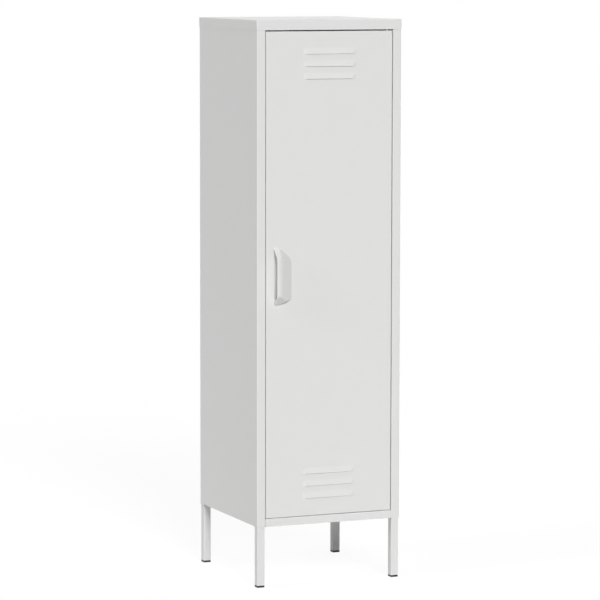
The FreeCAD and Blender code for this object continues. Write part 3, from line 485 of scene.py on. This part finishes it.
@dataclass
class Pull:
    """Moulded pull: a soft hipped shell, open towards the door's free edge, on two bosses.

    Places on it are (across from the mouth, up from the middle, out from the door), in mm.
    """

    paint: Paintbox
    crest: float = 6.5                # highest line of the ridge
    projection: float = 25.5
    lip_curve: float = 30.0           # radius of the ridge from its crest to the mouth
    ridge_radius: float = 17.0        # and from its crest to the broad side
    slope: float = 0.740              # fall of the broad side, per mm across
    top: Facet = Facet(0.0, 70.0, -90.0, 1.02)
    shoulder: Facet = Facet(14.5, 70.0, 227.3, 1.28)
    under: Facet = Facet(0.0, -70.5, 90.0, 1.085)
    heel: Facet = Facet(10.0, -70.5, 111.9, 4.0)
    end_wall: Facet = Facet(0.0, -55.5, 90.0, 7.0)      # closes the hollow at the bottom
    shoulder_blend: float = 7.0
    under_blend: float = 4.0
    end_blend: float = 3.0
    hollow_blend: float = 1.5
    wall: float = 2.4
    lip_radius: float = 1.0           # outer edge of the mouth
    chin_radius: float = 3.5          # the same edge below the hollow
    chin_from: float = -48.0
    chin_over: float = 7.0
    corner_radius: float = 8.0        # bottom corner at the mouth
    brink: float = 0.97               # share of its height at which the cheek starts to round
    shallow: float = 0.02             # anything lower than this lies on the door
    columns: int = 48
    row_step: float = 1.0
    end_inset: float = 0.1            # an end row takes its length from this far inside
    search_to: float = 60.0           # further across than any row goes
    halvings: int = 40                # of the span in which a row's foot is sought
    crease: float = 38.0              # degrees from which an edge shows sharp
    stop_from_mouth: float = 10.6     # wall that the fingers meet inside the mouth
    stop_wall: float = 1.6
    stop_least: float = 0.2           # least height of that wall
    stop_into_floor: float = 0.5      # its foot goes into the end wall, in walls
    stop_under_top: float = 0.8       # and its head stays so many below the top's line
    stop_steps: int = 60
    root: float = 0.6                 # how far it and the bosses reach into the shell
    boss_places: tuple[float, float] = (-48.0, 48.0)
    boss_from_mouth: float = 14.0
    boss_radius: float = 4.2
    boss_draft: float = 0.5
    boss_bore: float = 2.1
    boss_bore_depth: float = 12.0
    boss_chamfer: float = 0.3
    boss_sides: int = 32

    @staticmethod
    def softer(one: float, other: float, blend: float) -> float:
        """The lower of two heights, rounded where they cross.

        Args:
            one: a height.
            other: another height.
            blend: difference of heights at which the rounding starts.

        Returns:
            The rounded lower height.
        """
        near = max(blend - abs(one - other), 0.0)
        return min(one, other) - near * near / (4.0 * blend)

    def broad_side(self, across: float, wall: float) -> float:
        """Height of the rounded ridge and the long slope below it.

        Args:
            across: distance from the mouth.
            wall: thickness to the inner side.

        Returns:
            Height over the door.
        """
        steep = math.hypot(1.0, self.slope)
        reach = self.ridge_radius * self.slope / steep
        past = across - self.crest
        if past < reach:
            radius = self.ridge_radius if past > 0.0 else self.lip_curve
            rest = math.sqrt(radius ** 2 - past ** 2)
            return self.projection - radius + rest - wall * radius / rest
        return (self.projection - self.ridge_radius * (1.0 - 1.0 / steep)
                - self.slope * (past - reach) - wall * steep)

    def outside(self, across: float, along: float) -> float:
        """Height of the outer surface, before its edge at the mouth is rounded.

        Args:
            across: distance from the mouth.
            along: distance up from the middle.

        Returns:
            Height over the door.
        """
        height = self.softer(self.broad_side(across, 0.0), self.shoulder.height(across, along),
                             self.shoulder_blend)
        height = self.softer(height, self.top.height(across, along), self.end_blend)
        height = self.softer(height, self.under.height(across, along), self.under_blend)
        return self.softer(height, self.heel.height(across, along), self.end_blend)

    def inside(self, across: float, along: float) -> float:
        """Height of the hollow.

        Args:
            across: distance from the mouth.
            along: distance up from the middle.

        Returns:
            Height over the door.
        """
        height = self.broad_side(across, self.wall)
        for facet in (self.shoulder, self.top, self.under, self.heel):
            height = self.softer(height, facet.height(across, along, self.wall), self.hollow_blend)
        return self.softer(height, self.end_wall.height(across, along), self.hollow_blend)

    def mouth_side(self, along: float) -> float:
        """Where a row starts: at the mouth, or on the rounded corner below it.

        Args:
            along: distance up from the middle.

        Returns:
            Distance from the mouth.
        """
        below = self.under.along + self.corner_radius - along
        if below <= 0.0:
            return 0.0
        return self.corner_radius - math.sqrt(max(self.corner_radius ** 2 - below ** 2, 0.0))

    def edge_drop(self, gone: float, along: float, brow: float) -> float:
        """How far the rounded edge at the mouth lies below the surface.

        Args:
            gone: distance from the start of the row.
            along: distance up from the middle.
            brow: height of the surface at the start of the row, the most that it can drop.

        Returns:
            The drop in height.
        """
        share = min(max((self.chin_from - along) / self.chin_over, 0.0), 1.0)
        share = share * share * (3.0 - 2.0 * share)
        radius = min(self.lip_radius + (self.chin_radius - self.lip_radius) * share, brow)
        left = max(radius - gone, 0.0)
        return radius - math.sqrt(radius ** 2 - left ** 2)

    def toe(self, surface: Callable[[float, float], float], start: float, along: float) -> float:
        """Where a row of a surface comes down to the door.

        Args:
            surface: height at a place.
            start: where the row starts.
            along: distance up from the middle.

        Returns:
            Distance from the mouth.
        """
        near, far = start, self.search_to
        for _ in range(self.halvings):
            middle = (near + far) / 2.0
            if surface(middle, along) > 0.0:
                near = middle
            else:
                far = middle
        return near

    def row(self, along: float, end: End, outer: bool) -> list[Place]:
        """Points of one row of a surface, closest together at both ends.

        Args:
            along: distance up from the middle.
            end: which end of the surface the row is.
            outer: whether it is a row of the outer surface.

        Returns:
            The row's places, from the mouth.
        """
        surface = self.outside if outer else self.inside
        start = self.mouth_side(along) if outer else 0.0
        span = self.toe(surface, start, along - self.end_inset * end) - start
        brow = max(surface(start, along), 0.0)
        places = []
        for column in range(self.columns + 1):
            gone = span * (1.0 - math.cos(math.pi * column / self.columns)) / 2.0
            height = surface(start + gone, along)
            if outer:
                height -= self.edge_drop(gone, along, brow)
            if end is not End.BETWEEN or column == self.columns:
                height = 0.0
            places.append((start + gone, along, height if height > self.shallow else 0.0))
        return places

    @staticmethod
    def spaced(low: float, high: float, steps: int) -> list[float]:
        """Places in even steps from one end to the other."""
        return [low + (high - low) * step / steps for step in range(steps + 1)]

    def grid(self, mesh: bmesh.types.BMesh, levels: Sequence[float], outer: bool) -> Grid:
        """Make the vertices of one surface.

        Args:
            mesh: the mesh that gets them.
            levels: where its rows are, up from the middle.
            outer: whether it is the outer surface.

        Returns:
            The vertices, row by row.
        """
        ends = [End.BOTTOM] + [End.BETWEEN] * (len(levels) - 2) + [End.TOP]
        return [[mesh.verts.new(place) for place in self.row(along, end, outer)]
                for along, end in zip(levels, ends)]

    def surfaces(self, mesh: bmesh.types.BMesh) -> tuple[Grid, Grid, int]:
        """Make the vertices of the outer surface and of the hollow.

        Args:
            mesh: the mesh that gets them.

        Returns:
            The outer grid, the hollow's grid, and the outer row at which the hollow starts.
        """
        low, high, floor = self.under.along, self.top.along, self.end_wall.along
        ceiling = high - self.wall * math.hypot(1.0, self.top.rise) / self.top.rise
        below = math.ceil((floor - low) / self.row_step)
        above = math.ceil((high - floor) / self.row_step)
        levels = self.spaced(low, floor, below)[:-1] + self.spaced(floor, high, above)
        outer = self.grid(mesh, levels, True)
        inner = self.grid(mesh, self.spaced(floor, ceiling, above), False)
        return outer, inner, below

    @staticmethod
    def lay(mesh: bmesh.types.BMesh, lines: Sequence[Sequence[bmesh.types.BMVert]]) -> None:
        """Lay faces between neighbouring lines of vertices.

        Args:
            mesh: the mesh that gets the faces.
            lines: lines with as many vertices each.
        """
        for one, other in zip(lines, lines[1:]):
            for place in range(len(one) - 1):
                corners = [one[place], one[place + 1], other[place + 1], other[place]]
                corners = list(dict.fromkeys(corners))
                if len(corners) > 2:
                    mesh.faces.new(corners)

    @staticmethod
    def turn_out(mesh: bmesh.types.BMesh, faces: list[bmesh.types.BMFace]) -> None:
        """Turn the faces of one closed form outwards.

        Args:
            mesh: the mesh that they belong to.
            faces: all the faces of the form.
        """
        bmesh.ops.recalc_face_normals(mesh, faces=faces)
        mesh.normal_update()
        if sum(face.verts[0].co.dot(face.normal) * face.calc_area() for face in faces) < 0.0:
            bmesh.ops.reverse_faces(mesh, faces=faces)

    def shell(self, mesh: bmesh.types.BMesh) -> None:
        """Make the shell, closed all round.

        Args:
            mesh: the mesh that gets it.
        """
        outer, inner, below = self.surfaces(mesh)
        self.lay(mesh, outer)
        self.lay(mesh, inner)
        over = outer[below:]
        self.lay(mesh, [[row[0] for row in over], [row[0] for row in inner]])
        self.lay(mesh, [[row[-1] for row in over], [row[-1] for row in inner]])
        self.lay(mesh, [outer[-1], inner[-1]])
        brows = [row[0] for row in outer[:below + 1]]
        feet, brinks = [], []
        for brow in brows[:-1]:
            low = brow.co.z < self.shallow
            feet.append(brow if low else mesh.verts.new((brow.co.x, brow.co.y, 0.0)))
            brinks.append(brow if low else mesh.verts.new(
                (brow.co.x, brow.co.y, brow.co.z * self.brink)))
        feet.append(inner[0][0])
        brinks.append(brows[-1])
        self.lay(mesh, [feet, brinks, brows])
        rim = feet + inner[0][1:] + [row[-1] for row in outer[below::-1]] + outer[0][-2:0:-1]
        mesh.faces.new(rim)

    def boss(self, mesh: bmesh.types.BMesh, along: float) -> None:
        """Make a screw boss, from the door up into the shell.

        Args:
            mesh: the mesh that gets it.
            along: its place, up from the middle.
        """
        crown = min(self.inside(self.boss_from_mouth + across, along + up)
                    for across in (0.0, self.boss_radius + self.boss_draft)
                    for up in (-self.boss_radius, self.boss_radius)) + self.root
        bore, radius, chamfer = self.boss_bore, self.boss_radius, self.boss_chamfer
        profile = [(bore, self.boss_bore_depth), (bore, chamfer), (bore + chamfer, 0.0),
                   (radius - chamfer, 0.0), (radius, chamfer), (radius + self.boss_draft, crown)]
        turns = self.spaced(0.0, 2.0 * math.pi, self.boss_sides)[:-1]
        rings = [[mesh.verts.new((self.boss_from_mouth + away * math.cos(turn),
                                  along + away * math.sin(turn), height)) for turn in turns]
                 for away, height in profile]
        self.lay(mesh, [ring + ring[:1] for ring in rings])
        mesh.faces.new(rings[0])
        mesh.faces.new(rings[-1])

    def stop(self, mesh: bmesh.types.BMesh) -> None:
        """Make the finger stop, a wall across the hollow from the door up into the shell.

        Args:
            mesh: the mesh that gets it.
        """
        foot = self.end_wall.along - self.wall * self.stop_into_floor
        head = self.top.along - self.wall * self.stop_under_top
        near, far = self.stop_from_mouth, self.stop_from_mouth + self.stop_wall
        loops = []
        for along in self.spaced(foot, head, self.stop_steps):
            crown = min(self.inside(near, along), self.inside(far, along)) + self.root
            crown = max(crown, self.stop_least)
            section = ((near, 0.0), (near, crown), (far, crown), (far, 0.0))
            loops.append([mesh.verts.new((across, along, out)) for across, out in section])
        self.lay(mesh, [loop + loop[:1] for loop in loops])
        mesh.faces.new(loops[0])
        mesh.faces.new(loops[-1])

    def build(self) -> bpy.types.Object:
        """Mould the pull in place of its construction solid.

        Returns:
            The finished piece.
        """
        low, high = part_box("door_handle")
        mesh = bmesh.new()
        bosses = (partial(self.boss, along=along) for along in self.boss_places)
        for make in (self.shell, self.stop, *bosses):
            before = len(mesh.faces)
            make(mesh)
            self.turn_out(mesh, list(mesh.faces)[before:])
        for vertex in mesh.verts:
            across, along, out = (measure * MM for measure in vertex.co)
            vertex.co = (low.x + across, high.y - out, (low.z + high.z) / 2.0 + along)
        data = bpy.data.meshes.new("moulded_pull")
        mesh.to_mesh(data)
        mesh.free()
        data.shade_smooth()
        data.set_sharp_from_angle(angle=math.radians(self.crease))
        piece = bpy.data.objects.new("moulded_pull", data)
        bpy.context.scene.collection.objects.link(piece)
        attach(piece, "door")
        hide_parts("door_handle")
        self.paint.dress(piece, Finish.PULL)
        return piece


@dataclass
class Door:
    """Door pan with its stiffener and pull."""

    paint: Paintbox

    def dress(self) -> None:
        """Coat the sheet and mould the pull."""
        self.paint.dress_nodes(Finish.COAT, "door_skin", "door_stiffener")
        Pull(self.paint).build()


@dataclass
class Ironmongery:
    """Pivots, catches and every fastener."""

    paint: Paintbox
    plated: tuple[str, ...] = ("upper_pivot_bracket", "lower_pivot_bracket", "upper_pivot_pin",
                               "lower_pivot_pin", "leg_screws", "floor_screws",
                               "back_panel_screws", "header_screws", "handle_screws",
                               "catch_screws", "strike_rivets", "lid_studs", "lid_nuts")

    def dress(self) -> None:
        """Finish each piece in its own metal or plastic."""
        self.paint.dress_nodes(Finish.ZINC, *self.plated)
        for end in ("upper", "lower"):
            self.paint.dress_nodes(Finish.NYLON, f"{end}_pivot_bush")
            self.paint.dress_nodes(Finish.CATCH, f"{end}_catch_housing")
            self.paint.dress_nodes(Finish.MAGNET, f"{end}_catch_magnet")
            self.paint.dress_nodes(Finish.STEEL, f"{end}_catch_pole_plates",
                                   f"{end}_strike_plate")


# ---- studio ----------------------------------------------------------------------------
@dataclass(frozen=True)
class FarPanel:
    """A wide lamp panel, so far away that its light is even all over the locker."""

    name: str
    azimuth: float            # degrees from straight in front, towards the locker's left side
    elevation: float          # degrees up
    spread: float             # breadth as seen from the locker, in degrees
    strength: float

    def build(self) -> None:
        """Hang the lamp."""
        lamp = bpy.data.lights.new(self.name, "SUN")
        lamp.energy = self.strength
        lamp.angle = math.radians(self.spread)
        turn, lift = math.radians(self.azimuth), math.radians(self.elevation)
        towards = Vector((-math.sin(turn) * math.cos(lift), -math.cos(turn) * math.cos(lift),
                          math.sin(lift)))
        piece = bpy.data.objects.new(self.name, lamp)
        piece.rotation_mode = "QUATERNION"
        piece.rotation_quaternion = towards.to_track_quat("Z", "Y")
        bpy.context.scene.collection.objects.link(piece)


@dataclass(frozen=True)
class Studio:
    """Pale floor, even surroundings and soft lamps."""

    floor_half: float = 30.0          # half its breadth, in metres
    floor_white: float = 0.80
    backdrop_share: float = 0.85      # of what the lens sees of the floor
    backdrop_strength: float = 1.075
    ambient: float = 0.03
    lamps: tuple[FarPanel, ...] = (
        FarPanel("front_panel", 8.0, 30.0, 20.0, 2.17),
        FarPanel("left_panel", 85.0, 28.0, 14.0, 0.94),
        FarPanel("rear_panel", 225.0, 14.0, 30.0, 1.20),
        FarPanel("rear_top_panel", 180.0, 70.0, 40.0, 0.35))

    @staticmethod
    def seen(tree: Tree) -> Value:
        """Mask of the rays that show the backdrop.

        Args:
            tree: the node tree that it is for.

        Returns:
            One for camera, mirror and glass rays, else nothing.
        """
        lens, mirror, glass = (tree.node("ShaderNodeLightPath", output=f"Is {kind} Ray")
                               for kind in ("Camera", "Glossy", "Transmission"))
        return lens.either(mirror).either(glass)

    def floor(self) -> None:
        """Lay the floor, which stays white to the lens and keeps a light shadow."""
        half = self.floor_half
        mesh = bpy.data.meshes.new("studio_floor")
        mesh.from_pydata([(-half, -half, 0), (half, -half, 0), (half, half, 0), (-half, half, 0)],
                         [], [(0, 1, 2, 3)])
        piece = bpy.data.objects.new("studio_floor", mesh)
        bpy.context.scene.collection.objects.link(piece)
        made = bpy.data.materials.new("studio_white")
        tree = Tree(made)
        white = (self.floor_white,) * 3 + (1.0,)
        matt = tree.node("ShaderNodeBsdfDiffuse", None, {"Color": white})
        bright = tree.node("ShaderNodeEmission", None,
                           {"Color": WHITE, "Strength": self.backdrop_strength})
        share = self.seen(tree) * self.backdrop_share
        tree.surface(tree.node("ShaderNodeMixShader", None, {0: share, 1: matt, 2: bright}))
        mesh.materials.append(made)

    def surroundings(self) -> None:
        """Even light from all round, white where the lens sees it."""
        world = bpy.data.worlds.new("studio_air")
        bpy.context.scene.world = world
        tree = Tree(world)
        strength = self.ambient + self.seen(tree) * (1.0 - self.ambient)
        air = tree.node("ShaderNodeBackground", None, {"Color": WHITE, "Strength": strength})
        tree.node("ShaderNodeOutputWorld", None, {"Surface": air})

    def build(self) -> None:
        """Set up the studio."""
        self.floor()
        self.surroundings()
        for lamp in self.lamps:
            lamp.build()


@dataclass(frozen=True)
class Viewpoint:
    """The camera: a long lens to the left of the door, a little above the middle."""

    place: Place = (-3.107, -7.28875, 1.527)
    turn: float = 23.075              # degrees to the right of +Y
    tilt: float = 6.122               # degrees down
    roll: float = 0.091
    lens: float = 193.25              # in mm, as the sensor's width is
    sensor: float = 36.0
    sees_to: float = 100.0            # metres ahead

    def build(self) -> None:
        """Place the camera and make it the scene's own."""
        lens = bpy.data.cameras.new("viewpoint")
        lens.lens = self.lens
        lens.sensor_width = self.sensor
        lens.clip_end = self.sees_to
        camera = bpy.data.objects.new("viewpoint", lens)
        turn, tilt, roll = (math.radians(angle) for angle in (self.turn, self.tilt, self.roll))
        ahead = Vector((math.sin(turn) * math.cos(tilt), math.cos(turn) * math.cos(tilt),
                        -math.sin(tilt)))
        right = Vector((math.cos(turn), -math.sin(turn), 0.0))
        up = right.cross(ahead)
        rolled_right = right * math.cos(roll) + up * math.sin(roll)
        rolled_up = up * math.cos(roll) - right * math.sin(roll)
        axes = Matrix((rolled_right, rolled_up, -ahead)).transposed().to_4x4()
        camera.matrix_world = Matrix.Translation(self.place) @ axes
        bpy.context.scene.collection.objects.link(camera)
        bpy.context.scene.camera = camera


def main() -> None:
    """Build the scene in order."""
    logging.basicConfig(level=logging.INFO, format="%(name)s: %(message)s")
    bpy.context.scene.view_settings.view_transform = "Standard"
    Viewpoint().build()
    Studio().build()
    paint = Paintbox()
    for part in (Carcass(paint), Legs(paint), Shelving(paint), Door(paint), Ironmongery(paint)):
        part.dress()
        LOG.info("%s finished", type(part).__name__)


if __name__ == "__main__":
    main()
